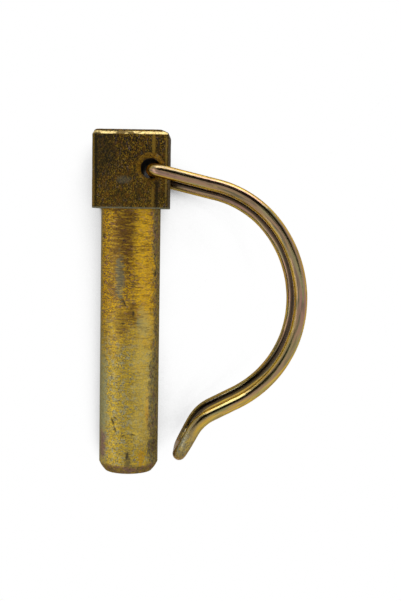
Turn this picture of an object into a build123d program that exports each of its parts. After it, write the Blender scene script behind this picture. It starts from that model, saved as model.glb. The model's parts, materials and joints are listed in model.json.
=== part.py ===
from build123d import *
from math import cos, radians, sin
import os

# A lynch pin: a round shank turned from square bar, which leaves a square head,
# and a wire bail that is sprung into a slanted hole across the head.
# All sizes are in millimetres and all angles in degrees.

# Sizes of the shank
shank_diameter = 10.0
shank_length = 44.5
tip_chamfer_length = 1.5
tip_chamfer_depth = 1.0

# Sizes of the square head
head_width = 12.4
head_length = 12.9
head_offset = 0.2
head_end_round = 0.8
head_bevel_run = 1.3
head_bevel_drop = 0.6
bar_corner_round = 0.3

# Sizes of the hole across the head
cross_hole_diameter = 3.3
cross_hole_offset = 3.5
cross_hole_height = 6.2
cross_hole_slant = 4.0
countersink_diameter = 4.6
countersink_angle = 90.0

# Sizes of the bail's wire and of its bends
wire_diameter = 2.15
hinge_clearance = 0.08
hinge_play_direction = -50.0
head_clearance = 0.35
hinge_end_length = 4.6
hinge_bend_radius = 1.8
tip_bend_radius = 4.0

# Bending schedule of one leg, from the hinge to the tip
leg_heading = -13.4
leg_length = 9.1
shoulder_radius = 17.1
shoulder_turn = 40.0
side_radius = 19.8
side_turn = 44.5
belly_radius = 18.3
belly_turn = 55.2
ogee_run = 4.6
ogee_radius = 7.0
ogee_turn = 35.0
finger_length = 0.5

# Half sizes and places that follow from the sizes above.
# The drawing frame has its origin on the shank's axis at the head's underside, with
# +X to the bail, +Y along the pin to the head's end and +Z out of the front face.
# The shank isn't turned quite on the bar's own centre line, which lies nearer the bail.
shank_radius = shank_diameter / 2
wire_radius = wire_diameter / 2
head_half = head_width / 2
pin_axis = Vector(0, 1, 0)

# The hole is drilled on a slant, so its front mouth is nearer to the head's end
hole_axis = Vector(0, sin(radians(cross_hole_slant)), cos(radians(cross_hole_slant)))
hole_plane = Plane(
    origin=(cross_hole_offset, cross_hole_height, 0),
    x_dir=(1, 0, 0),
    z_dir=hole_axis,
)
mouth_distance = head_half / cos(radians(cross_hole_slant))
front_mouth = hole_plane.offset(mouth_distance)
rear_mouth = Plane(
    origin=hole_plane.offset(-mouth_distance).origin,
    x_dir=(1, 0, 0),
    z_dir=-hole_axis,
)

# The wire is thinner than the hole, and its ends bear on one side of it
hinge_play = (cross_hole_diameter - wire_diameter) / 2 - hinge_clearance
hinge_plane = Plane(
    origin=hole_plane.from_local_coords(
        (
            hinge_play * cos(radians(hinge_play_direction)),
            hinge_play * sin(radians(hinge_play_direction)),
            0,
        )
    ),
    x_dir=(1, 0, 0),
    z_dir=hole_axis,
)

# Both legs clear the corner of the head that stands highest along the hinge
far_corner = max(cross_hole_height, head_length - cross_hole_height)
leg_height = (
    head_half * cos(radians(cross_hole_slant))
    + (far_corner + hinge_play) * sin(radians(cross_hole_slant))
    + head_clearance
    + wire_radius
)

# The pin is one piece of square bar: a head of full section and a turned shank
with BuildPart() as pin_blank:
    with BuildSketch(Plane.ZX) as bar_section:
        with Locations((0, head_offset)):
            Rectangle(head_width, head_width)
        fillet(bar_section.vertices(), radius=bar_corner_round)
    extrude(amount=head_length)

    # The end is rounded over, and bevelled on the side of the bail
    with BuildSketch(Plane.XY) as head_front_view:
        with Locations((head_offset, 0)):
            Rectangle(head_width, head_length, align=(Align.CENTER, Align.MIN))
        end_corners = head_front_view.vertices().group_by(Axis.Y)[-1].sort_by(Axis.X)
        fillet(end_corners[0], radius=head_end_round)
        end_corners = head_front_view.vertices().group_by(Axis.Y)[-1].sort_by(Axis.X)
        chamfer(
            end_corners[-1],
            length=head_bevel_run,
            length2=head_bevel_drop,
            reference=head_front_view.edges().group_by(Axis.Y)[-1][0],
        )
    extrude(amount=head_width, both=True, mode=Mode.INTERSECT)
    with BuildSketch(Plane.YZ) as head_side_view:
        Rectangle(head_length, head_width, align=(Align.MIN, Align.CENTER))
        fillet(head_side_view.vertices().group_by(Axis.Y)[-1], radius=head_end_round)
    extrude(amount=head_width, both=True, mode=Mode.INTERSECT)

    # The shank is turned, with a steep chamfer that leads it into a hole
    with BuildSketch(Plane.XY):
        with BuildLine():
            Polyline(
                (0, 0),
                (shank_radius, 0),
                (shank_radius, tip_chamfer_length - shank_length),
                (shank_radius - tip_chamfer_depth, -shank_length),
                (0, -shank_length),
                close=True,
            )
        make_face()
    revolve(axis=Axis.Y)

    # One hole is drilled right through, and both of its mouths are countersunk
    with Locations(front_mouth, rear_mouth):
        CounterSinkHole(
            radius=cross_hole_diameter / 2,
            counter_sink_radius=countersink_diameter / 2,
            counter_sink_angle=countersink_angle,
        )

# Planes in which the wire is bent: across the head, along the leg, across the tip
leg_plane = hinge_plane.offset(leg_height)
leg_direction = leg_plane.from_local_coords(
    (cos(radians(leg_heading)), sin(radians(leg_heading)), 0)
) - leg_plane.origin
hinge_bend_plane = Plane(
    origin=leg_plane.origin,
    x_dir=leg_direction,
    z_dir=leg_direction.cross(hole_axis),
)

# The bail is one wire: an end in the hole, a leg, and half of the bar at the tip.
# The other half is its mirror image on the other side of the head.
with BuildPart() as bail_blank:
    with BuildLine(hinge_bend_plane):
        straight_end = Line(
            (0, -hinge_bend_radius - hinge_end_length), (0, -hinge_bend_radius)
        )
        hinge_bend = JernArc(
            straight_end @ 1, straight_end % 1, hinge_bend_radius, -90
        )
    with BuildLine(leg_plane):
        straight = PolarLine(hinge_bend @ 1, leg_length, leg_heading)
        shoulder = JernArc(straight @ 1, straight % 1, shoulder_radius, -shoulder_turn)
        side = JernArc(shoulder @ 1, shoulder % 1, side_radius, -side_turn)
        belly = JernArc(side @ 1, side % 1, belly_radius, -belly_turn)
        run = Line(belly @ 1, belly @ 1 + (belly % 1) * ogee_run)
        ogee = JernArc(run @ 1, run % 1, ogee_radius, ogee_turn)
        finger = Line(ogee @ 1, ogee @ 1 + (ogee % 1) * finger_length)
    tip_bend_plane = Plane(
        origin=finger @ 1, x_dir=finger % 1, z_dir=(finger % 1).cross(hole_axis)
    )
    with BuildLine(tip_bend_plane):
        tip_bend = JernArc(finger @ 1, finger % 1, tip_bend_radius, -90)
        half_bar = (tip_bend % 1) * (leg_height - tip_bend_radius)
        Line(tip_bend @ 1, tip_bend @ 1 + half_bar)
    with BuildSketch(Plane(origin=straight_end @ 0, z_dir=hole_axis)):
        Circle(wire_radius)
    sweep()
    mirror(about=hinge_plane)

# The pin lies on three points: the rim of its tip, the bail's lower bend at the
# hinge, and the corner of the head that the pin rolls over to on the other side.
rim_centre = Vector(0, tip_chamfer_length - shank_length, 0)
corner_centre = Vector(
    head_offset + bar_corner_round - head_half, 0, bar_corner_round - head_half
)
bend_centre = (
    hinge_plane.origin
    + leg_direction * hinge_bend_radius
    - hole_axis * (leg_height - hinge_bend_radius)
)
bend_axis = hinge_bend_plane.z_dir


def lowest_point(centre, axis, radius, up):
    """The point of a ring about an axis that lies lowest when up points upwards."""
    across = (up - axis * up.dot(axis)).normalized()
    return centre - across * radius


# The points shift a little as the pin tips over, so the floor is settled in steps
settling_steps = 12
floor_up = Vector(0, 0, 1)
for step in range(settling_steps):
    rim_point = lowest_point(rim_centre, pin_axis, shank_radius, floor_up)
    corner_point = lowest_point(corner_centre, pin_axis, bar_corner_round, floor_up)
    bend_point = lowest_point(bend_centre, bend_axis, hinge_bend_radius, floor_up)
    bend_point = bend_point - floor_up * wire_radius
    floor_up = (bend_point - rim_point).cross(corner_point - rim_point).normalized()

# The floor's +Y is the pin's own direction, and its middle is under the whole piece
floor_y = (pin_axis - floor_up * floor_up.dot(pin_axis)).normalized()
floor = Plane(origin=rim_point, x_dir=floor_y.cross(floor_up), z_dir=floor_up)
spread = Compound(
    [floor.to_local_coords(pin_blank.part), floor.to_local_coords(bail_blank.part)]
).bounding_box()
floor = Plane(
    origin=floor.from_local_coords((spread.center().X, spread.center().Y, 0)),
    x_dir=floor.x_dir,
    z_dir=floor.z_dir,
)
at_rest = floor.location.inverse()

with BuildPart() as pin:
    with Locations(at_rest):
        add(pin_blank.part)
pin.part.label = "pin"

with BuildPart() as wire_bail:
    with Locations(at_rest):
        add(bail_blank.part)
wire_bail.part.label = "wire_bail"

os.makedirs("parts", exist_ok=True)
export_step(pin.part, "parts/pin.step")
export_step(wire_bail.part, "parts/wire_bail.step")
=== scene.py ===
import json
import math

import bmesh
import bpy
import numpy as np
from mathutils import Matrix, Vector, noise


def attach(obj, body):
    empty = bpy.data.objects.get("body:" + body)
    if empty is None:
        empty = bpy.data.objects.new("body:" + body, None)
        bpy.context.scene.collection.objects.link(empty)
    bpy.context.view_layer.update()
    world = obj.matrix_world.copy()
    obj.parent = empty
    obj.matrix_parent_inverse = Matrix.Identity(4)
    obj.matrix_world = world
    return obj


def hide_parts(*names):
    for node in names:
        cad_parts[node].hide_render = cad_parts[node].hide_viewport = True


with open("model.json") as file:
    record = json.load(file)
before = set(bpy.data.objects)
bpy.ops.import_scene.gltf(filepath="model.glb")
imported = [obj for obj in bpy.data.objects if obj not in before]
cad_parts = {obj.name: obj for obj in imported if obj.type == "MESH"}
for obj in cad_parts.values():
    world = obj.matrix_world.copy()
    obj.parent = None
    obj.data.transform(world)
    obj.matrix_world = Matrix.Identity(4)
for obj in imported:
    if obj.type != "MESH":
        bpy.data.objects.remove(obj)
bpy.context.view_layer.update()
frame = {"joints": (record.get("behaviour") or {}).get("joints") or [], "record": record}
scene = bpy.context.scene

# The pin is one length of square steel bar, drawn to size. Its shank is turned down round
# and chamfered at the tip, and the end of the head that is left is rounded over and
# bevelled on the side of the bail.
mounts = {mount["name"]: mount for mount in frame["record"]["mounts"]}
shank_mount = mounts["shank"]
hinge_joint = frame["joints"][0]
hinge_axis = Vector(hinge_joint["axis"])
pin_up = -Vector(shank_mount["axis"])
pin_front = (hinge_axis - pin_up * hinge_axis.dot(pin_up)).normalized()
pin_right = pin_up.cross(pin_front)
shank_middle = Vector(shank_mount["pos_m"])
to_shoulder = Vector(mounts["shoulder"]["pos_m"]) - shank_middle
head_underside = shank_middle + pin_up * to_shoulder.dot(pin_up)
pin_turn = Matrix((pin_right, pin_up, pin_front)).transposed().to_4x4()
pin_frame = Matrix.Translation(head_underside) @ pin_turn

MM = 0.001
shank_radius = shank_mount["dims"]["r_mm"] * MM
shank_length = 44.5 * MM
chamfer_length = 1.5 * MM
chamfer_depth = 1.0 * MM
chamfer_bulge = 0.1 * MM
head_width = 12.4 * MM
head_length = 12.9 * MM
head_offset = 0.2 * MM
end_facet_length = 0.88 * MM
end_facet_angle = math.radians(39)
end_dome_length = 0.38 * MM
# The left and right ends are rounded by these shares of what the front and rear are
left_end_share = 0.6
right_end_share = 0.3
bevel_run = 1.3 * MM
bevel_drop = 0.6 * MM
bevel_curve = 1.1
bar_corner = 0.3 * MM
edge_break = 0.12 * MM
edge_middle = 0.3 * edge_break

side_points = 46
corner_points = 5
cap_rings = 12
dome_rings = 8
facet_rings = 5
head_rings = 58
shoulder_rings = 9
shank_rings = 290
chamfer_shares = (0.12, 0.3, 0.5, 0.7, 0.88)
tip_shares = (1.0, 0.985, 0.96, 0.9, 0.8, 0.65, 0.5, 0.35, 0.2, 0.1)


def bar_ring(left, right, half_depth, corner, height):
    """One ring of points round the bar: four rounded corners, with a side after each."""
    corners = ((right, half_depth), (left, half_depth), (left, -half_depth), (right, -half_depth))
    arcs = []
    for index, (x, z) in enumerate(corners):
        middle_x = x - math.copysign(corner, x)
        middle_z = z - math.copysign(corner, z)
        arc = []
        for step in range(corner_points):
            angle = math.radians(90 * index + 90 * step / (corner_points - 1))
            arc.append((middle_x + corner * math.cos(angle), height, middle_z + corner * math.sin(angle)))
        arcs.append(np.array(arc))
    ring = []
    for arc, following in zip(arcs, arcs[1:] + arcs[:1]):
        ring.extend(arc)
        side = following[0] - arc[-1]
        ring.extend(arc[-1] + side * (step / side_points) for step in range(1, side_points))
    return np.array(ring)


# The shank's points stand at the angles of the bar's, so the rings join without a twist
bar_points = bar_ring(-1, 1, 1, 0.05, 0)
around = np.arctan2(bar_points[:, 2], bar_points[:, 0])


def shank_ring(radius, height):
    """One ring of points round the shank, in step with the rings round the bar."""
    heights = np.full(len(around), height)
    return np.stack([radius * np.cos(around), heights, radius * np.sin(around)], axis=1)


def head_ring(height, inset):
    """The head's ring at a height, with its rounded end and the bevel on the bail's side."""
    half = head_width / 2
    from_end = head_length - height
    facet_length = end_facet_length - end_dome_length
    facet_inset = facet_length * math.tan(end_facet_angle)
    if from_end < end_dome_length:
        dome_radius = end_dome_length / (1 - math.sin(end_facet_angle))
        slope = math.asin(1 - from_end / dome_radius)
        rounding = facet_inset + dome_radius * (math.cos(end_facet_angle) - math.cos(slope))
    else:
        rounding = facet_inset * max(0.0, 1 - (from_end - end_dome_length) / facet_length)
    bevel = bevel_run * max(0.0, 1 - from_end / bevel_drop) ** bevel_curve
    left = head_offset - half + left_end_share * rounding + inset
    right = head_offset + half - max(bevel, right_end_share * rounding) - inset
    return bar_ring(left, right, half - rounding - inset, bar_corner + inset, height)


end_ring = head_ring(head_length, 0)
end_middle = end_ring.mean(axis=0)
rings = [end_middle + (end_ring - end_middle) * step / cap_rings for step in range(1, cap_rings)]
for step in range(dome_rings):
    rings.append(head_ring(head_length - end_dome_length * (step / dome_rings) ** 2, 0))
for step in range(facet_rings):
    below_dome = (end_facet_length - end_dome_length) * step / facet_rings
    rings.append(head_ring(head_length - end_dome_length - below_dome, 0))
for height in np.linspace(head_length - end_facet_length, edge_break, head_rings):
    rings.append(head_ring(height, 0))
rings.append(head_ring(edge_middle, edge_middle))
under_ring = head_ring(0, edge_break)
under_circle = shank_ring(shank_radius, 0)
for step in range(shoulder_rings):
    rings.append(under_ring + (under_circle - under_ring) * step / shoulder_rings)
for height in np.linspace(0, chamfer_length - shank_length, shank_rings):
    rings.append(shank_ring(shank_radius, height))
for share in chamfer_shares:
    bulge = chamfer_bulge * math.sin(math.pi * share)
    height = chamfer_length * (1 - share) - shank_length
    rings.append(shank_ring(shank_radius - chamfer_depth * share + bulge, height))
for share in tip_shares:
    rings.append(shank_ring((shank_radius - chamfer_depth) * share, -shank_length))


def skin(ring_points, first_pole, last_pole):
    """A closed mesh over a stack of rings, with a point at each end."""
    count, size = ring_points.shape[:2]
    points = [first_pole, *ring_points.reshape(-1, 3), last_pole]
    faces = []
    for i in range(size):
        j = (i + 1) % size
        faces.append((0, 1 + j, 1 + i))
        for k in range(count - 1):
            a, b = 1 + k * size, 1 + (k + 1) * size
            faces.append((a + i, a + j, b + j, b + i))
        last = 1 + (count - 1) * size
        faces.append((last + i, last + j, len(points) - 1))
    mesh = bpy.data.meshes.new("skin")
    mesh.from_pydata([tuple(point) for point in points], [], faces)
    shape = bmesh.new()
    shape.from_mesh(mesh)
    bmesh.ops.recalc_face_normals(shape, faces=shape.faces)
    shape.to_mesh(mesh)
    shape.free()
    return mesh


pin_mesh = skin(np.array(rings), end_middle, (0, -shank_length, 0))

# The whole pin is zinc plated and yellow chromated. The film is brown, dull and mottled
# on the drawn head, and gold on the turned shank, where it has gone olive and grey with
# stains towards the tip. The grey down one side of the shank is a painted reflection.
TO_MM = 1 / MM


def node(tree, kind, settings=None, inputs=None):
    """A node in a tree, with its settings made and its inputs linked or set."""
    made = tree.nodes.new(kind)
    for name, value in (settings or {}).items():
        setattr(made, name, value)
    for name, value in (inputs or {}).items():
        if isinstance(value, bpy.types.NodeSocket):
            tree.links.new(value, made.inputs[name])
        elif made.inputs[name].type == "RGBA":
            made.inputs[name].default_value = (*value, 1)
        else:
            made.inputs[name].default_value = value
    return made


def sums(tree, operation, first, second=0.0):
    """The result of one sum on values."""
    return node(tree, "ShaderNodeMath", {"operation": operation}, {0: first, 1: second}).outputs[0]


def plus(tree, first, second):
    """One value added to another."""
    return sums(tree, "ADD", first, second)


def minus(tree, first, second):
    """One value less another."""
    return sums(tree, "SUBTRACT", first, second)


def times(tree, first, second):
    """One value times another."""
    return sums(tree, "MULTIPLY", first, second)


def soft_step(tree, value, low, high, bottom=0.0, top=1.0):
    """A value that rises smoothly from bottom to top as another goes from low to high."""
    settings = {"interpolation_type": "SMOOTHSTEP"}
    inputs = {"Value": value, "From Min": low, "From Max": high, "To Min": bottom, "To Max": top}
    return node(tree, "ShaderNodeMapRange", settings, inputs).outputs[0]


def places(tree, operation, first, second=(0.0, 0.0, 0.0)):
    """A node for one sum on places or directions."""
    return node(tree, "ShaderNodeVectorMath", {"operation": operation}, {0: first, 1: second})


def stretched(tree, place, scale):
    """The place scaled differently along each direction."""
    return places(tree, "MULTIPLY", place, scale).outputs[0]


def split(tree, place):
    """The three parts of a place or a direction, by their names."""
    return node(tree, "ShaderNodeSeparateXYZ", None, {0: place}).outputs


def grain(tree, place, scale, detail=2.0, roughness=0.5, distortion=0.0):
    """Soft noise between 0 and 1 in a place that is given in millimetres."""
    inputs = {"Vector": place, "Scale": scale, "Detail": detail}
    inputs.update({"Roughness": roughness, "Distortion": distortion})
    return node(tree, "ShaderNodeTexNoise", None, inputs).outputs["Fac"]


def coat(tree, factor, under, over):
    """One colour laid over another where the factor is 1."""
    settings = {"data_type": "RGBA", "blend_type": "MIX", "clamp_factor": True}
    return node(tree, "ShaderNodeMix", settings, {0: factor, 6: under, 7: over}).outputs[2]


def film_group():
    """The film's own play of colour: a body colour, brighter flecks, a tint and dark specks."""
    group = bpy.data.node_groups.new("chromate film", "ShaderNodeTree")
    group.interface.new_socket("Place", in_out="INPUT", socket_type="NodeSocketVector")
    for name in ("Body", "Fleck", "Tint", "Speck"):
        group.interface.new_socket(name, in_out="INPUT", socket_type="NodeSocketColor")
    for name in ("Scale", "Fleck Share", "Tint Share", "Speck Share"):
        group.interface.new_socket(name, in_out="INPUT", socket_type="NodeSocketFloat")
    group.interface.new_socket("Color", in_out="OUTPUT", socket_type="NodeSocketColor")
    group.interface.new_socket("Relief", in_out="OUTPUT", socket_type="NodeSocketFloat")
    given = node(group, "NodeGroupInput").outputs
    place, scale = given["Place"], given["Scale"]
    tint_place = stretched(group, place, (1.0, 0.8, 1.1))
    speck_place = stretched(group, place, (-1.0, 1.0, 1.0))
    fine = grain(group, place, scale, 4.0, 0.75)
    tint = grain(group, tint_place, times(group, scale, 0.6), 3.0, 0.6, 0.4)
    speck = grain(group, speck_place, times(group, scale, 1.7), 2.0, 0.6)
    color = given["Body"]
    for noise_value, name in ((fine, "Fleck"), (tint, "Tint"), (speck, "Speck")):
        edge = minus(group, 0.78, times(group, given[name + " Share"], 0.56))
        mask = soft_step(group, minus(group, noise_value, edge), -0.09, 0.09)
        color = coat(group, mask, color, given[name])
    relief = plus(group, fine, times(group, speck, -0.6))
    node(group, "NodeGroupOutput", None, {"Color": color, "Relief": relief})
    return group


chromate_film = film_group()


def film(tree, place, scale, body, fleck, tint, speck, shares):
    """The chromate film in a material, with the shares of its flecks, tint and specks."""
    inputs = {"Place": place, "Scale": scale}
    inputs.update({"Body": body, "Fleck": fleck, "Tint": tint, "Speck": speck})
    inputs.update(zip(("Fleck Share", "Tint Share", "Speck Share"), shares))
    return node(tree, "ShaderNodeGroup", {"node_tree": chromate_film}, inputs)


def surface(name):
    """A new material, with its node tree and its Principled shader."""
    material = bpy.data.materials.new(name)
    material.use_nodes = True
    tree = material.node_tree
    return material, tree, tree.nodes["Principled BSDF"]


def pin_place(tree):
    """The place on the pin in millimetres: X to the bail, Y up the pin, Z out of its front."""
    to_pin = pin_frame.inverted()
    inputs = {
        "Vector": node(tree, "ShaderNodeTexCoord").outputs["Object"],
        "Location": to_pin.translation * TO_MM,
        "Rotation": to_pin.to_euler(),
        "Scale": (TO_MM, TO_MM, TO_MM),
    }
    return node(tree, "ShaderNodeMapping", {"vector_type": "POINT"}, inputs).outputs[0]


def blotch(tree, place, centre, size, ragged):
    """A soft stain round a centre, of a size along each direction, with a ragged edge."""
    near = places(tree, "SUBTRACT", place, centre).outputs[0]
    near = stretched(tree, near, tuple(1 / side for side in size))
    reach = places(tree, "LENGTH", near).outputs["Value"]
    rough = grain(tree, stretched(tree, place, (0.8, 1.3, 0.8)), 1.5, 5.0, 0.75)
    reach = plus(tree, reach, times(tree, minus(tree, rough, 0.5), 2 * ragged))
    return soft_step(tree, reach, 1.25, 0.55)


def stained(tree, place, color, stains, ragged):
    """A colour with stains laid over it. Each stain is its middle and its size on the pin in
    millimetres, its colour, and how far it covers what is under it."""
    for centre, size, stain, share in stains:
        mask = times(tree, blotch(tree, place, centre, size, ragged), share)
        color = coat(tree, mask, color, stain)
    return color


def bump(tree, shader, height, distance, strength=1.0):
    """Fine relief, with its depth in metres, on a shader's normal."""
    inputs = {"Height": height, "Distance": distance, "Strength": strength}
    made = node(tree, "ShaderNodeBump", None, inputs)
    tree.links.new(made.outputs["Normal"], shader.inputs["Normal"])


# On the front: a shade at the upper left, a pale spot, the ridge and the groove above and
# below the hole, a dark line at the left edge, and painted highlights along both edges
head_stains = (
    ((-4.2, 9.5, 6.2), (2.6, 4.0, 1.5), (0.022, 0.018, 0.009), 0.55),
    ((-0.8, 4.6, 6.2), (1.3, 0.7, 0.6), (0.100, 0.105, 0.085), 0.35),
    ((4.0, 10.5, 6.2), (0.32, 2.4, 0.6), (0.225, 0.135, 0.020), 0.75),
    ((3.9, 1.8, 6.2), (0.26, 2.4, 0.6), (0.200, 0.120, 0.020), 0.70),
    ((4.55, 2.0, 6.2), (0.30, 3.2, 0.6), (0.016, 0.013, 0.008), 0.80),
    ((4.80, 10.3, 6.2), (0.22, 2.4, 0.6), (0.022, 0.017, 0.009), 0.70),
    ((-5.35, 6.0, 6.2), (0.22, 8.0, 0.6), (0.014, 0.012, 0.006), 0.75),
    # Painted highlights along the left and right edges of the front
    ((-5.80, 6.0, 6.2), (0.22, 8.0, 0.6), (0.185, 0.115, 0.022), 0.60),
    ((6.05, 7.0, 6.2), (0.16, 6.0, 0.6), (0.235, 0.160, 0.035), 0.70),
)


def head_material():
    """The drawn bar's film, brown and dull, with its end bevel rubbed bright."""
    material, tree, shader = surface("chromated_drawn_bar")
    place = pin_place(tree)
    parts = split(tree, place)
    up = parts["Y"]
    along_bar = stretched(tree, place, (1.0, 0.6, 1.0))
    mottled = film(
        tree, along_bar, 4.1,
        body=(0.058, 0.035, 0.006),
        fleck=(0.300, 0.180, 0.014),
        tint=(0.120, 0.085, 0.080),
        speck=(0.004, 0.005, 0.007),
        shares=(0.48, 0.30, 0.54),
    )
    lower = times(tree, soft_step(tree, up, 12.0, 1.0), 0.14)
    color = coat(tree, lower, mottled.outputs["Color"], (0.185, 0.118, 0.016))
    shade = soft_step(tree, grain(tree, along_bar, 0.5, 3.0, 0.6), 0.45, 0.70, 0.0, 0.6)
    color = coat(tree, shade, color, (0.022, 0.017, 0.008))
    rust = soft_step(tree, grain(tree, along_bar, 1.9, 4.0, 0.7), 0.48, 0.62, 0.0, 0.50)
    color = coat(tree, rust, color, (0.135, 0.058, 0.008))
    color = stained(tree, place, color, head_stains, 0.7)

    # The bevel round the end is rubbed bright in patches
    bevel = times(tree, soft_step(tree, up, 11.98, 12.14), soft_step(tree, up, 12.62, 12.42))
    patches = grain(tree, stretched(tree, place, (0.7, 1.0, 0.7)), 1.1, 3.0, 0.6)
    rubbed = times(tree, bevel, soft_step(tree, patches, 0.38, 0.56, 0.15, 1.0))
    color = coat(tree, rubbed, color, (0.400, 0.310, 0.130))

    # The side face towards the bail is painted darker as shade, and the edges at the head's foot are
    # painted grey as a highlight
    painted_shade_side = soft_step(tree, parts["X"], 6.22, 6.36, 0.0, 0.7)
    color = coat(tree, painted_shade_side, color, (0.052, 0.036, 0.012))
    # Painted highlight: grey along the outer edges at the head's foot
    from_middle = split(tree, places(tree, "ABSOLUTE", place).outputs[0])
    outer = soft_step(tree, sums(tree, "MAXIMUM", from_middle["X"], from_middle["Z"]), 5.85, 6.05)
    foot_highlight = times(tree, outer, soft_step(tree, up, 0.34, 0.08, 0.0, 0.7))
    color = coat(tree, foot_highlight, color, (0.185, 0.190, 0.130))

    tree.links.new(color, shader.inputs["Base Color"])
    tree.links.new(soft_step(tree, rubbed, 0.0, 1.0, 0.55, 1.0), shader.inputs["Metallic"])
    tree.links.new(soft_step(tree, rubbed, 0.0, 1.0, 0.55, 0.28), shader.inputs["Roughness"])
    shader.inputs["Specular IOR Level"].default_value = 0.10
    shader.inputs["Specular Tint"].default_value = (0.30, 0.24, 0.14, 1)
    pits = grain(tree, place, 2.4, 4.0, 0.7)
    lines = grain(tree, stretched(tree, place, (6.0, 0.12, 6.0)), 1.0, 2.0)
    bump(tree, shader, plus(tree, pits, times(tree, lines, 0.25)), 0.00014, 0.9)
    return material


# The brown run below the head, a stain and a painted dark reflection in one, the grey-green
# and brown patches under it, the olive left side, the patches round the tip, and two on the rear
shank_stains = (
    ((-0.8, -4.0, 4.9), (2.1, 8.0, 3.0), (0.090, 0.042, 0.012), 0.78),
    ((-2.4, -10.0, 4.6), (1.4, 6.0, 2.0), (0.215, 0.125, 0.025), 0.60),
    ((-1.4, -11.3, 4.7), (0.8, 4.0, 2.0), (0.140, 0.138, 0.090), 0.75),
    ((0.7, -17.4, 4.9), (0.9, 1.8, 2.0), (0.170, 0.095, 0.020), 0.75),
    ((-1.2, -18.8, 4.9), (1.2, 2.2, 2.0), (0.210, 0.130, 0.022), 0.60),
    ((2.5, -18.8, 4.4), (1.0, 2.6, 2.0), (0.215, 0.215, 0.125), 0.80),
    ((3.2, -10.3, 4.0), (0.4, 1.4, 2.0), (0.170, 0.070, 0.020), 0.70),
    ((3.3, -33.5, 4.0), (0.3, 3.2, 2.0), (0.560, 0.250, 0.010), 0.55),
    ((-4.3, -33.0, 2.0), (1.3, 10.0, 3.0), (0.270, 0.275, 0.160), 0.75),
    ((-4.5, -39.5, 1.5), (1.2, 2.6, 3.0), (0.200, 0.110, 0.110), 0.85),
    ((0.2, -42.4, 4.8), (0.5, 2.2, 2.0), (0.085, 0.075, 0.045), 0.70),
    ((2.4, -41.5, 4.4), (0.5, 1.6, 2.0), (0.480, 0.260, 0.015), 0.70),
    ((1.5, -10.0, -4.6), (3.5, 9.0, 3.0), (0.150, 0.130, 0.070), 0.70),
    ((-2.0, -30.0, -4.6), (3.0, 7.0, 3.0), (0.190, 0.120, 0.060), 0.60),
)


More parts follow.
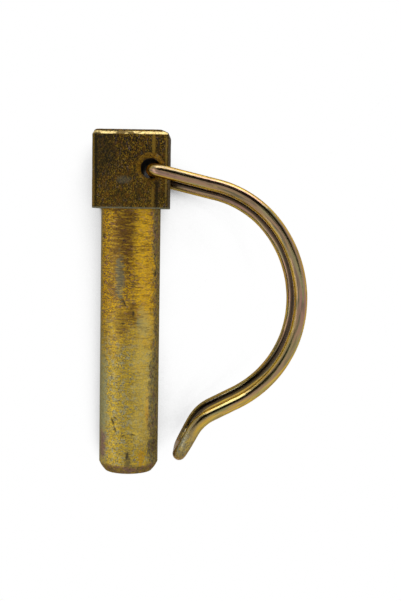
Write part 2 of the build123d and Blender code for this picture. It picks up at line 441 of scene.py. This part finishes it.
def shank_material():
    """The turned shank's film, gold above and olive below, with a painted grey reflection down its right
    side.
    """
    material, tree, shader = surface("chromated_turned_shank")
    place = pin_place(tree)
    parts = split(tree, place)
    across, up = parts["X"], parts["Y"]
    upper = film(
        tree, stretched(tree, place, (0.8, 2.0, 0.8)), 1.9,
        body=(0.440, 0.230, 0.010),
        fleck=(0.640, 0.390, 0.014),
        tint=(0.250, 0.125, 0.090),
        speck=(0.045, 0.046, 0.050),
        shares=(0.45, 0.34, 0.40),
    )
    lower = film(
        tree, stretched(tree, place, (1.0, 1.4, 1.0)), 2.6,
        body=(0.400, 0.285, 0.040),
        fleck=(0.600, 0.385, 0.022),
        tint=(0.330, 0.300, 0.160),
        speck=(0.100, 0.092, 0.070),
        shares=(0.45, 0.38, 0.38),
    )
    drift = times(tree, minus(tree, grain(tree, place, 0.35, 3.0), 0.5), 16.0)
    falling = plus(tree, up, drift)
    is_lower = soft_step(tree, falling, -14.0, -27.0)
    color = coat(tree, is_lower, upper.outputs["Color"], lower.outputs["Color"])
    color = stained(tree, place, color, shank_stains, 1.5)

    # A painted highlight: a bright and ragged run down the shank, to the right of its middle
    edge_grain = grain(tree, stretched(tree, place, (1.0, 0.6, 1.0)), 1.5, 5.0, 0.75)
    ragged = times(tree, minus(tree, edge_grain, 0.5), 3.2)
    slow_grain = grain(tree, stretched(tree, place, (0.5, 1.0, 0.5)), 0.45, 3.0)
    wander = plus(tree, ragged, times(tree, minus(tree, slow_grain, 0.5), 5.0))
    from_highlight = sums(tree, "ABSOLUTE", minus(tree, plus(tree, across, wander), 2.7))
    above_tip = soft_step(tree, up, -41.0, -38.0)
    highlight_run = times(tree, soft_step(tree, from_highlight, 2.6, 0.3, 0.0, 0.42), above_tip)
    highlight_color = coat(tree, is_lower, (0.900, 0.530, 0.026), (0.720, 0.545, 0.130))
    color = coat(tree, highlight_run, color, highlight_color)

    # The lathe's fine lines, dark in their bottoms, with painted glints on their tops
    lathe = grain(tree, stretched(tree, place, (0.6, 3.3, 0.6)), 1.0, 3.0, 0.65)
    strength = soft_step(tree, falling, -32.0, -8.0, 0.35, 0.85)
    bottoms = times(tree, soft_step(tree, lathe, 0.50, 0.62), strength)
    color = coat(tree, times(tree, bottoms, 0.66), color, (0.100, 0.052, 0.016))
    lathe_glints = times(tree, soft_step(tree, lathe, 0.46, 0.36), strength)
    color = coat(tree, times(tree, lathe_glints, 0.45), color, (0.620, 0.400, 0.030))

    # A painted grey reflection down the right edge, wider at the head and towards the tip, and a painted
    # olive reflection at the left edge
    grey_reflection_film = film(
        tree, stretched(tree, place, (1.0, 0.6, 1.0)), 2.6,
        body=(0.150, 0.140, 0.085),
        fleck=(0.330, 0.235, 0.050),
        tint=(0.150, 0.090, 0.100),
        speck=(0.028, 0.027, 0.030),
        shares=(0.45, 0.36, 0.42),
    )
    near_head = soft_step(tree, up, -10.0, -6.0, 0.0, 0.35)
    near_tip = soft_step(tree, up, -22.0, -28.0, 0.0, 0.75)
    right_reach = plus(tree, plus(tree, across, ragged), plus(tree, near_head, near_tip))
    grey_reflection_band = times(tree, soft_step(tree, right_reach, 3.95, 4.55), 0.85)
    color = coat(tree, grey_reflection_band, color, grey_reflection_film.outputs["Color"])
    left_reach = minus(tree, times(tree, ragged, 0.3), across)
    olive_reflection_band = times(tree, soft_step(tree, left_reach, 4.35, 4.75), 0.7)
    color = coat(tree, olive_reflection_band, color, (0.200, 0.190, 0.110))

    # The chamfer is darker, and dirt sits in the nicks
    tip = film(
        tree, place, 1.8,
        body=(0.140, 0.092, 0.030),
        fleck=(0.360, 0.215, 0.026),
        tint=(0.150, 0.075, 0.070),
        speck=(0.040, 0.034, 0.026),
        shares=(0.42, 0.48, 0.36),
    )
    on_chamfer = soft_step(tree, up, -42.7, -43.3, 0.0, 0.85)
    color = coat(tree, on_chamfer, color, tip.outputs["Color"])
    dirt = node(tree, "ShaderNodeAttribute", {"attribute_name": "nick_dirt"}).outputs["Fac"]
    dirt = soft_step(tree, dirt, 0.15, 0.95, 0.0, 0.82)
    color = coat(tree, dirt, color, (0.040, 0.034, 0.026))

    tree.links.new(color, shader.inputs["Base Color"])
    shader.inputs["Metallic"].default_value = 0.88
    shader.inputs["Specular IOR Level"].default_value = 0.20
    shader.inputs["Specular Tint"].default_value = (0.75, 0.62, 0.35, 1)
    rough = soft_step(tree, grain(tree, place, 1.6, 3.0, 0.6), 0.3, 0.7, 0.36, 0.55)
    tree.links.new(rough, shader.inputs["Roughness"])
    pits = grain(tree, place, 3.0, 3.0, 0.7)
    bump(tree, shader, minus(tree, times(tree, pits, 0.8), lathe), 0.00009, 0.9)
    return material


pin_mesh.materials.append(head_material())
pin_mesh.materials.append(shank_material())
for face in pin_mesh.polygons:
    face.material_index = 1 if face.center.y < 0 else 0

# One hole is drilled right across the head, on a slant and off centre towards the bail,
# and countersunk at both mouths. The countersinks are cleaner than the rest of the head,
# and the wall of the hole is painted near black as the shade inside it.
hole_offset = 3.5 * MM
hole_height = 6.2 * MM
hole_radius = 1.65 * MM
mouth_radius = 2.3 * MM
hole_points = 96
drill_overrun = 0.9 * MM
outer_bore_ring = 0.6 * MM
inner_bore_ring = 1.5 * MM
hole_slant = math.asin(hinge_axis.dot(pin_up))
hole_middle = Vector((hole_offset, hole_height, 0))
drill_axis = Vector((0, math.sin(hole_slant), math.cos(hole_slant)))
mouth_distance = head_width / 2 / math.cos(hole_slant)
sink_bottom = mouth_distance - (mouth_radius - hole_radius)

# The drill as distances along its axis and radii, from its front end to its rear end
drill_profile = [
    (mouth_distance + drill_overrun, mouth_radius + drill_overrun),
    (sink_bottom, hole_radius),
    (sink_bottom - outer_bore_ring, hole_radius),
    (inner_bore_ring, hole_radius),
]
drill_profile += [(-distance, radius) for distance, radius in reversed(drill_profile)]
drill_rings = []
for distance, radius in drill_profile:
    turns = np.linspace(0, 2 * math.pi, hole_points, endpoint=False)
    drill_rings.append([(radius * math.cos(t), radius * math.sin(t), distance) for t in turns])
drill_end = drill_profile[0][0]
drill_mesh = skin(np.array(drill_rings), (0, 0, drill_end), (0, 0, -drill_end))
drill_mesh.transform(Matrix.Translation(hole_middle) @ Matrix.Rotation(-hole_slant, 4, "X"))


def hole_material(name, metallic, roughness, body, fleck, tint, speck, shares):
    """The film inside the hole or on a countersink."""
    material, tree, shader = surface(name)
    made = film(tree, pin_place(tree), 2.5, body, fleck, tint, speck, shares)
    tree.links.new(made.outputs["Color"], shader.inputs["Base Color"])
    shader.inputs["Metallic"].default_value = metallic
    shader.inputs["Roughness"].default_value = roughness
    bump(tree, shader, made.outputs["Relief"], 0.00006)
    return material


drill_mesh.materials.append(hole_material(
    "chromated_countersink", 0.85, 0.42,
    body=(0.150, 0.090, 0.016),
    fleck=(0.330, 0.205, 0.026),
    tint=(0.110, 0.085, 0.045),
    speck=(0.030, 0.022, 0.010),
    shares=(0.50, 0.30, 0.28),
))
# The wall of the hole: near black, as painted shade
drill_mesh.materials.append(hole_material(
    "shaded_bore", 0.3, 0.8,
    body=(0.010, 0.012, 0.014),
    fleck=(0.022, 0.020, 0.016),
    tint=(0.008, 0.010, 0.014),
    speck=(0.004, 0.004, 0.004),
    shares=(0.4, 0.3, 0.3),
))
for face in drill_mesh.polygons:
    along_drill = (face.center - hole_middle).dot(drill_axis)
    face.material_index = 1 if abs(along_drill) < sink_bottom else 0

blank = bpy.data.objects.new("pin_blank", pin_mesh)
drill = bpy.data.objects.new("drill", drill_mesh)
for tool in (blank, drill):
    scene.collection.objects.link(tool)
cut = blank.modifiers.new("cross hole", "BOOLEAN")
cut.operation = "DIFFERENCE"
cut.solver = "EXACT"
cut.material_mode = "TRANSFER"
cut.object = drill
bpy.context.view_layer.update()
drilled_blank = blank.evaluated_get(bpy.context.evaluated_depsgraph_get())
drilled = bpy.data.meshes.new_from_object(drilled_blank)
for tool in (blank, drill):
    bpy.data.objects.remove(tool)

# Drawing leaves lines along the bar, with a deep one and a raised one beside it right
# down the front of the head, and the whole skin is a little uneven. Use has left small
# nicks and dents in the front of the shank.
groove_place, groove_width, groove_depth = 4.50 * MM, 0.20 * MM, 0.10 * MM
ridge_place, ridge_width, ridge_height = 4.02 * MM, 0.17 * MM, 0.05 * MM
left_line_place, left_line_width, left_line_depth = -5.50 * MM, 0.14 * MM, 0.06 * MM
head_mottle = 0.016 * MM
head_drawing = 0.018 * MM
head_swell = 0.02 * MM
line_wander = 0.05 * MM
face_margin = 0.05 * MM
shank_mottle = 0.012 * MM
mouth_margin = 0.1 * MM
# Each nick: its place across and up the front of the shank, its length and width, its
# lean from upright in degrees, and its depth, in millimetres. Dirt is kept in the
# nicks, and where one is as deep as full_dirt_depth it is full of it.
full_dirt_depth = 0.1
nicks = (
    (-2.45, -35.5, 0.80, 0.15, 26, 0.15),
    (-1.95, -34.9, 0.55, 0.13, 55, 0.13),
    (-2.00, -36.9, 0.75, 0.15, 22, 0.12),
    (-0.65, -15.5, 0.90, 0.15, 25, 0.15),
    (0.90, -17.3, 0.70, 0.16, 0, 0.16),
    (4.40, -10.8, 0.55, 0.16, 0, 0.15),
    (-0.85, -19.0, 0.26, 0.26, 0, 0.14),
    (-3.50, -3.3, 0.50, 0.15, 90, 0.11),
    (-0.80, -5.3, 0.45, 0.14, 90, 0.10),
    (-4.35, -4.5, 0.80, 0.18, 5, 0.11),
    (0.10, -41.2, 0.90, 0.22, -8, 0.12),
    (1.00, -37.6, 0.75, 0.15, 70, 0.10),
    (-0.60, -37.8, 0.65, 0.15, 110, 0.09),
)


def line_along(x, place, width):
    """How near a point is to a line that runs along the bar, from 0 to 1."""
    return math.exp(-(((x - place) / width) ** 2))


def head_depth(point):
    """How far the drawn skin sinks at a point of the head, in metres."""
    x, y, z = point
    spot = Vector(point) / MM
    face_start = head_width / 2 - face_margin
    on_front = z > face_start
    run = x if abs(z) > face_start else z
    face_seed = 3.0 + 5.0 * (z > 0) + 9.0 * (x > 0)
    depth = noise.fractal(spot * 1.5, 0.9, 2.2, 4) * head_mottle
    depth += noise.noise(Vector((run / MM * 2.2, spot.y * 0.05, face_seed))) * head_drawing
    if on_front:
        wandered = x + line_wander * noise.noise(Vector((0, spot.y * 0.5, 8.0)))
        fade = 0.75 + 0.5 * noise.noise(Vector((0, spot.y * 0.35, 2.0)))
        depth += groove_depth * fade * line_along(wandered, groove_place, groove_width)
        depth -= ridge_height * fade * line_along(wandered, ridge_place, ridge_width)
        depth += left_line_depth * line_along(x, left_line_place, left_line_width)
    return max(depth, -head_swell)


def nick_depth(spot):
    """How deep the nicks are at a place on the pin, all in millimetres."""
    depth = 0.0
    if spot.y > 0 or spot.z < 0:
        return depth
    for across, up, length, width, lean, deep in nicks:
        reach_x, reach_y = spot.x - across, spot.y - up
        if abs(reach_x) < 3 and abs(reach_y) < 3:
            tilt = math.radians(lean)
            lengthwise = (reach_y * math.cos(tilt) - reach_x * math.sin(tilt)) / length
            sideways = (reach_x * math.cos(tilt) + reach_y * math.sin(tilt)) / width
            depth += deep * math.exp(-(lengthwise**2) * 1.5 - sideways**2)
    return depth


nick_dirt = drilled.attributes.new("nick_dirt", "FLOAT", "POINT")
normals = [Vector(normal.vector) for normal in drilled.vertex_normals]
for vertex, normal in zip(drilled.vertices, normals):
    spot = vertex.co / MM
    nicked = nick_depth(spot)
    nick_dirt.data[vertex.index].value = min(1.0, nicked / full_dirt_depth)
    from_hole = vertex.co - hole_middle
    from_hole -= drill_axis * from_hole.dot(drill_axis)
    if vertex.co.y <= 0:
        uneven = noise.fractal(spot * 0.9, 0.9, 2.2, 3) * shank_mottle
        vertex.co -= normal * (max(uneven, 0) + nicked * MM)
    elif from_hole.length >= mouth_radius + mouth_margin:
        vertex.co -= normal * head_depth(vertex.co)
drilled.transform(pin_frame)
for face in drilled.polygons:
    face.use_smooth = True
drilled.set_sharp_from_angle(angle=math.radians(38))
drilled.name = "lynch_pin"
lynch_pin = bpy.data.objects.new("lynch_pin", drilled)
scene.collection.objects.link(lynch_pin)
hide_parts("pin")
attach(lynch_pin, "pin")

# The bail is one length of spring wire, bent to a D on each side of the head and round
# a short bar at its tip. Its ends stand in the hole. Drawing has left streaks along it,
# and the chromate on it is thin, bright and shot with rose and green. The gold along its
# lower side and flanks is a painted reflection, and so is a dark band along the rear leg.
real_wire_radius = 1.075 * MM
wire_radius = 1.07 * MM
wire_points_round = 32
wire_step = 0.28 * MM
skin_waver = 0.02 * MM
hinge_clearance = 0.08 * MM
hole_play = hole_radius - real_wire_radius - hinge_clearance
head_clearance = 0.35 * MM
far_corner = max(hole_height, head_length - hole_height)
leg_height = (
    head_width / 2 * math.cos(hole_slant)
    + (far_corner + hole_play) * math.sin(hole_slant)
    + head_clearance
    + real_wire_radius
)
hinge_end = 4.6 * MM
hinge_bend = 1.8 * MM
tip_bend = 4.0 * MM
leg_heading = math.radians(-13.4)
# The legs' bends after the hinge: radius, and turn in degrees, which is to the right
# where it is negative. A straight has no radius and its length instead of a turn.
leg_bends = (
    (None, 9.1 * MM),
    (17.1 * MM, -40.0),
    (19.8 * MM, -44.5),
    (18.3 * MM, -55.2),
    (None, 4.6 * MM),
    (7.0 * MM, 35.0),
    (None, 0.5 * MM),
)
hinge_right = pin_up.cross(hinge_axis).normalized()
hinge_up = hinge_axis.cross(hinge_right)
hinge_turn = Matrix((hinge_right, hinge_up, hinge_axis)).transposed().to_4x4()
hinge_frame = Matrix.Translation(Vector(hinge_joint["pos_m"])) @ hinge_turn


def bent_wire(start, heading, bends):
    """Points along a wire that starts at a point in a heading and follows its bends.

    Each bend is a radius, a turn in radians and the axis that it turns about."""
    points, place, ahead = [start.copy()], start.copy(), heading.normalized()
    for radius, turn, axis in bends:
        if radius is None:
            count = max(1, round(turn / wire_step))
            points += [place + ahead * turn * (step + 1) / count for step in range(count)]
            place = points[-1].copy()
            continue
        middle = place + axis.cross(ahead).normalized() * math.copysign(radius, turn)
        count = max(4, round(radius * abs(turn) / wire_step))
        for step in range(count):
            swung = Matrix.Rotation(turn * (step + 1) / count, 3, axis)
            points.append(middle + swung @ (place - middle))
        place = points[-1].copy()
        ahead = (Matrix.Rotation(turn, 3, axis) @ ahead).normalized()
    return points, ahead


quarter_turn = math.radians(90)
upward = Vector((0, 0, 1))
outward = Vector((math.cos(leg_heading), math.sin(leg_heading), 0))
bends = [(None, hinge_end, None), (hinge_bend, quarter_turn, upward.cross(outward).normalized())]
for radius, amount in leg_bends:
    bends.append((radius, amount if radius is None else math.radians(amount), upward))
wire_end = Vector((0, 0, leg_height - hinge_bend - hinge_end))
front_half, tip_ahead = bent_wire(wire_end, upward, bends)
tip_bends = [
    (tip_bend, quarter_turn, tip_ahead.cross(-upward).normalized()),
    (None, leg_height - tip_bend, None),
]
tip_half, _ = bent_wire(front_half[-1], tip_ahead, tip_bends)
front_half += tip_half[1:]
rear_half = [Vector((point.x, point.y, -point.z)) for point in reversed(front_half[:-1])]
wire_points = front_half + rear_half
wire_length = sum((b - a).length for a, b in zip(wire_points, wire_points[1:]))

wire_line = bpy.data.curves.new("wire_line", "CURVE")
wire_line.dimensions = "3D"
spline = wire_line.splines.new("POLY")
spline.points.add(len(wire_points) - 1)
for point, place in zip(spline.points, wire_points):
    point.co = (*(hinge_frame @ place), 1)


def wire_tree():
    """Geometry nodes that draw a round wire along a line, and store on each point of it how
    far along the wire it is and where in the wire's round section."""
    tree = bpy.data.node_groups.new("drawn wire", "GeometryNodeTree")
    for name, kind in (
        ("Line", "NodeSocketGeometry"),
        ("Wire Radius", "NodeSocketFloat"),
        ("Points Round", "NodeSocketInt"),
        ("Plating", "NodeSocketMaterial"),
    ):
        tree.interface.new_socket(name, in_out="INPUT", socket_type=kind)
    tree.interface.new_socket("Wire", in_out="OUTPUT", socket_type="NodeSocketGeometry")
    given = node(tree, "NodeGroupInput").outputs
    circle_inputs = {"Resolution": given["Points Round"], "Radius": given["Wire Radius"]}
    circle = node(tree, "GeometryNodeCurvePrimitiveCircle", None, circle_inputs)

    measured = node(tree, "GeometryNodeCaptureAttribute")
    measured.capture_items.new("FLOAT", "Length")
    line_length = node(tree, "GeometryNodeSplineParameter").outputs["Length"]
    tree.links.new(given["Line"], measured.inputs["Geometry"])
    tree.links.new(line_length, measured.inputs["Length"])
    section = node(tree, "GeometryNodeCaptureAttribute")
    section.capture_items.new("VECTOR", "Place")
    position = node(tree, "GeometryNodeInputPosition").outputs[0]
    tree.links.new(circle.outputs["Curve"], section.inputs["Geometry"])
    tree.links.new(position, section.inputs["Place"])

    drawn = node(tree, "GeometryNodeCurveToMesh", None, {
        "Curve": measured.outputs["Geometry"],
        "Profile Curve": section.outputs["Geometry"],
        "Fill Caps": True,
    })
    in_section = split(tree, section.outputs["Place"])
    place = node(tree, "ShaderNodeCombineXYZ", None, {
        "X": measured.outputs["Length"],
        "Y": in_section["X"],
        "Z": in_section["Y"],
    })
    settings = {"data_type": "FLOAT_VECTOR", "domain": "POINT"}
    stored = node(tree, "GeometryNodeStoreNamedAttribute", settings, {
        "Geometry": drawn.outputs["Mesh"],
        "Name": "wire_place",
        "Value": place.outputs[0],
    })
    smooth = node(tree, "GeometryNodeSetShadeSmooth", None, {"Geometry": stored.outputs[0]})
    real = node(tree, "GeometryNodeRealizeInstances", None, {"Geometry": smooth.outputs[0]})
    plating = {"Geometry": real.outputs[0], "Material": given["Plating"]}
    plated = node(tree, "GeometryNodeSetMaterial", None, plating)
    node(tree, "NodeGroupOutput", None, {"Wire": plated.outputs[0]})
    return tree


def wire_material():
    """The drawn wire's film: glossy and streaked, with a painted gold reflection at its flanks and lower
    side and a painted dark reflection along the rear leg.
    """
    material, tree, shader = surface("chromated_drawn_wire")
    stored = node(tree, "ShaderNodeAttribute", {"attribute_name": "wire_place"})
    faced = node(tree, "ShaderNodeAttribute", {"attribute_name": "wire_side"})
    side = faced.outputs["Vector"]
    place = stretched(tree, stored.outputs["Vector"], (TO_MM, TO_MM, TO_MM))
    along = split(tree, place)["X"]
    half_length = wire_length / MM / 2
    from_tip = sums(tree, "ABSOLUTE", minus(tree, along, half_length))
    streaked = stretched(tree, place, (0.07, 1.0, 1.0))
    plain = film(
        tree, streaked, 1.9,
        body=(0.262, 0.172, 0.088),
        fleck=(0.335, 0.245, 0.072),
        tint=(0.280, 0.146, 0.108),
        speck=(0.110, 0.095, 0.050),
        shares=(0.42, 0.44, 0.40),
    )
    gold = film(
        tree, streaked, 1.9,
        body=(0.480, 0.300, 0.032),
        fleck=(0.680, 0.480, 0.060),
        tint=(0.420, 0.250, 0.090),
        speck=(0.240, 0.180, 0.060),
        shares=(0.45, 0.30, 0.30),
    )
    streaks = grain(tree, streaked, 1.0, 3.0, 0.6)
    waver = times(tree, minus(tree, streaks, 0.5), 0.9)

    # Painted gold reflection on the sides that face down the pin, and wherever the wire turns from the
    # front
    gold_edge = soft_step(tree, from_tip, 20.0, 44.0, 0.0, -0.80)
    below = minus(tree, gold_edge, plus(tree, split(tree, side)["Y"], waver))
    flank = plus(tree, split(tree, side)["Z"], times(tree, waver, 0.35))
    on_lower_side = soft_step(tree, below, -0.12, 0.20)
    gold_reflection = sums(tree, "MAXIMUM", on_lower_side, soft_step(tree, flank, 0.80, 0.60))
    color = coat(tree, gold_reflection, plain.outputs["Color"], gold.outputs["Color"])

    # Rose towards the hinge and straw towards the tip, with green streaks all along
    rose = grain(tree, stretched(tree, place, (0.10, 1.0, 1.0)), 1.3, 3.0)
    near_hinge = soft_step(tree, from_tip, 34.0, 46.0, 0.0, 0.40)
    rose = times(tree, soft_step(tree, rose, 0.36, 0.56), near_hinge)
    clear_of_gold_reflection = minus(tree, 1.0, gold_reflection)
    color = coat(tree, times(tree, rose, clear_of_gold_reflection), color, (0.300, 0.150, 0.128))
    straw = times(tree, soft_step(tree, from_tip, 40.0, 32.0, 0.0, 0.40), clear_of_gold_reflection)
    color = coat(tree, straw, color, (0.290, 0.225, 0.080))
    green = grain(tree, stretched(tree, place, (0.12, 1.2, 1.2)), 1.1, 3.0)
    green = soft_step(tree, green, 0.50, 0.62, 0.0, 0.62)
    color = coat(tree, green, color, (0.235, 0.232, 0.095))

    # A painted dark reflection in a band along the front of the rear leg, and dark marks where scale was
    rear = soft_step(tree, along, half_length + 6.0, half_length + 10.0)
    facing = places(tree, "DOT_PRODUCT", side, (0.0, 0.2, 0.98)).outputs["Value"]
    facing = plus(tree, facing, times(tree, waver, 0.10))
    dark_reflection_band = times(tree, rear, soft_step(tree, facing, 0.850, 0.935))
    color = coat(tree, times(tree, dark_reflection_band, 0.86), color, (0.030, 0.016, 0.010))
    marks = grain(tree, stretched(tree, place, (0.35, 1.6, 1.6)), 2.0, 4.0, 0.7)
    marks = soft_step(tree, marks, 0.58, 0.70, 0.0, 0.6)
    color = coat(tree, marks, color, (0.090, 0.062, 0.032))

    # The bar at the tip is dull from handling
    tip = soft_step(tree, plus(tree, from_tip, times(tree, waver, 6.0)), 12.5, 8.5)
    dull = film(
        tree, place, 2.4,
        body=(0.250, 0.190, 0.060),
        fleck=(0.430, 0.310, 0.045),
        tint=(0.170, 0.172, 0.135),
        speck=(0.060, 0.058, 0.042),
        shares=(0.42, 0.46, 0.40),
    )
    color = coat(tree, times(tree, tip, 0.85), color, dull.outputs["Color"])

    tree.links.new(color, shader.inputs["Base Color"])
    shader.inputs["Metallic"].default_value = 1.0
    shader.inputs["Specular Tint"].default_value = (0.80, 0.48, 0.14, 1)
    shader.inputs["Coat Weight"].default_value = 0.35
    shader.inputs["Coat Roughness"].default_value = 0.10
    gloss = soft_step(tree, grain(tree, streaked, 2.2, 3.0, 0.6), 0.35, 0.65, 0.10, 0.22)
    tree.links.new(plus(tree, gloss, times(tree, tip, 0.18)), shader.inputs["Roughness"])
    lines = grain(tree, stretched(tree, place, (0.05, 3.2, 3.2)), 1.0, 3.0, 0.6)
    worn = grain(tree, stretched(tree, place, (0.5, 1.0, 1.0)), 1.6, 3.0, 0.6)
    bump(tree, shader, plus(tree, lines, times(tree, worn, 0.4)), 0.00005)
    return material


wire_blank = bpy.data.objects.new("wire_blank", wire_line)
scene.collection.objects.link(wire_blank)
drawing = wire_blank.modifiers.new("drawn wire", "NODES")
drawing.node_group = wire_tree()
wire_inputs = {
    "Wire Radius": wire_radius,
    "Points Round": wire_points_round,
    "Plating": wire_material(),
}
for item in drawing.node_group.interface.items_tree:
    if item.name in wire_inputs:
        drawing[item.identifier] = wire_inputs[item.name]
bpy.context.view_layer.update()
drawn_wire = wire_blank.evaluated_get(bpy.context.evaluated_depsgraph_get())
wire_mesh = bpy.data.meshes.new_from_object(drawn_wire)
wire_blank.modifiers.remove(drawing)
bpy.data.objects.remove(wire_blank)

# A drawn wire is never quite round or straight, so its skin waves a little. Which way
# each side of it faces is stored too, as seen from the hinge, because the painted gold
# and dark reflections are laid on round the wire by it.
to_hinge = hinge_frame.to_3x3().transposed()
wire_side = wire_mesh.attributes.new("wire_side", "FLOAT_VECTOR", "POINT")
normals = [Vector(normal.vector) for normal in wire_mesh.vertex_normals]
for vertex, normal in zip(wire_mesh.vertices, normals):
    wire_side.data[vertex.index].vector = to_hinge @ normal
    wave = 0.5 + 0.5 * noise.noise(vertex.co / MM * 0.6)
    vertex.co -= normal * wave * skin_waver
wire_mesh.set_sharp_from_angle(angle=math.radians(60))
wire_mesh.name = "bail_wire"
bail_wire = bpy.data.objects.new("bail_wire", wire_mesh)
scene.collection.objects.link(bail_wire)
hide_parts("wire_bail")
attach(bail_wire, "bail")

# The floor is a plain white card. The camera sees it white where it is open to the sky,
# and darker near and under the pin and the bail, which keeps their soft shadow.
floor_half = 1.5
floor_mesh = bpy.data.meshes.new("floor")
floor_corners = [(-1, -1), (1, -1), (1, 1), (-1, 1)]
floor_points = [(x * floor_half, y * floor_half, 0) for x, y in floor_corners]
floor_mesh.from_pydata(floor_points, [], [(0, 1, 2, 3)])
card, tree, shader = surface("white_card")
shader.inputs["Roughness"].default_value = 0.9
glow = node(tree, "ShaderNodeEmission", None, {"Color": (1, 1, 1), "Strength": 1.0})
occlusion = node(tree, "ShaderNodeAmbientOcclusion", {"samples": 16}, {"Distance": 0.022})
by_camera = node(tree, "ShaderNodeLightPath").outputs["Is Camera Ray"]
lit_color = coat(tree, by_camera, (0.86, 0.86, 0.86), (0.05, 0.05, 0.05))
tree.links.new(lit_color, shader.inputs["Base Color"])
open_sky = soft_step(tree, occlusion.outputs["AO"], 0.10, 0.66)
seen = {0: times(tree, by_camera, open_sky), 1: shader.outputs[0], 2: glow.outputs[0]}
both = node(tree, "ShaderNodeMixShader", None, seen)
tree.links.new(both.outputs[0], tree.nodes["Material Output"].inputs["Surface"])
floor_mesh.materials.append(card)
floor = bpy.data.objects.new("floor", floor_mesh)
scene.collection.objects.link(floor)

# The light is a white tent with a dim strip across its top, a little to the head's side
# of the camera, and two soft lamps low down, one beyond the head and one to the left.
# The camera sees the whole tent as white.
tent_level = 1.0
strip_level = 0.02
world = bpy.data.worlds.new("light_tent")
scene.world = world
world.use_nodes = True
tree = world.node_tree
background = tree.nodes["Background"]
background.inputs["Color"].default_value = (1, 1, 1, 1)
looking = split(tree, node(tree, "ShaderNodeTexCoord").outputs["Generated"])
# The strip's edges: the part of the direction, and where the tent is white and where dim
strip_edges = (
    ("Y", math.sin(math.radians(4)), math.sin(math.radians(11))),
    ("Y", math.sin(math.radians(56)), math.sin(math.radians(48))),
    ("X", -0.95, -0.6),
    ("X", 0.75, 0.4),
    ("Z", 0.1, 0.3),
)
edge_masks = [soft_step(tree, looking[part], white, dim) for part, white, dim in strip_edges]
strip = edge_masks[0]
for mask in edge_masks[1:]:
    strip = times(tree, strip, mask)
level = soft_step(tree, strip, 0.0, 1.0, tent_level, strip_level)
by_camera = node(tree, "ShaderNodeLightPath").outputs["Is Camera Ray"]
tree.links.new(sums(tree, "MAXIMUM", level, by_camera), background.inputs["Strength"])


def soft_lamp(name, place, width, height, radiance):
    """A flat soft lamp that faces the pin and looks as bright as its radiance says."""
    data = bpy.data.lights.new(name, "AREA")
    data.shape = "RECTANGLE"
    data.size, data.size_y = width, height
    data.energy = radiance * width * height * math.pi
    lamp = bpy.data.objects.new(name, data)
    lamp.location = place
    lamp.rotation_euler = (Vector() - Vector(place)).to_track_quat("-Z", "Y").to_euler()
    scene.collection.objects.link(lamp)


soft_lamp("lamp_beyond_head", (0.0, 0.45, 0.11), 0.7, 0.24, 4.5)
soft_lamp("lamp_left", (-0.45, -0.10, 0.10), 0.5, 0.16, 1.3)

# The camera looks along the hinge, from the distance and with the small turns that the
# photograph shows, and its lens gives the photograph's scale.
image_height = 601
focal_pixels = 1071.6
camera_turn = Vector((0.0099, -0.0027, -0.0161))
camera_shift = Vector((-7.80, 21.23, -180.24)) * MM
camera_data = bpy.data.cameras.new("camera")
camera_data.sensor_width = 36
camera_data.lens = focal_pixels / image_height * camera_data.sensor_width
camera_data.clip_start = 0.01
camera = bpy.data.objects.new("camera", camera_data)
turned = Matrix.Rotation(camera_turn.length, 4, camera_turn.normalized())
seen_from = Matrix.Translation(camera_shift) @ turned
camera.matrix_world = hinge_frame @ seen_from.inverted()
scene.collection.objects.link(camera)
scene.camera = camera
scene.view_settings.view_transform = "Standard"
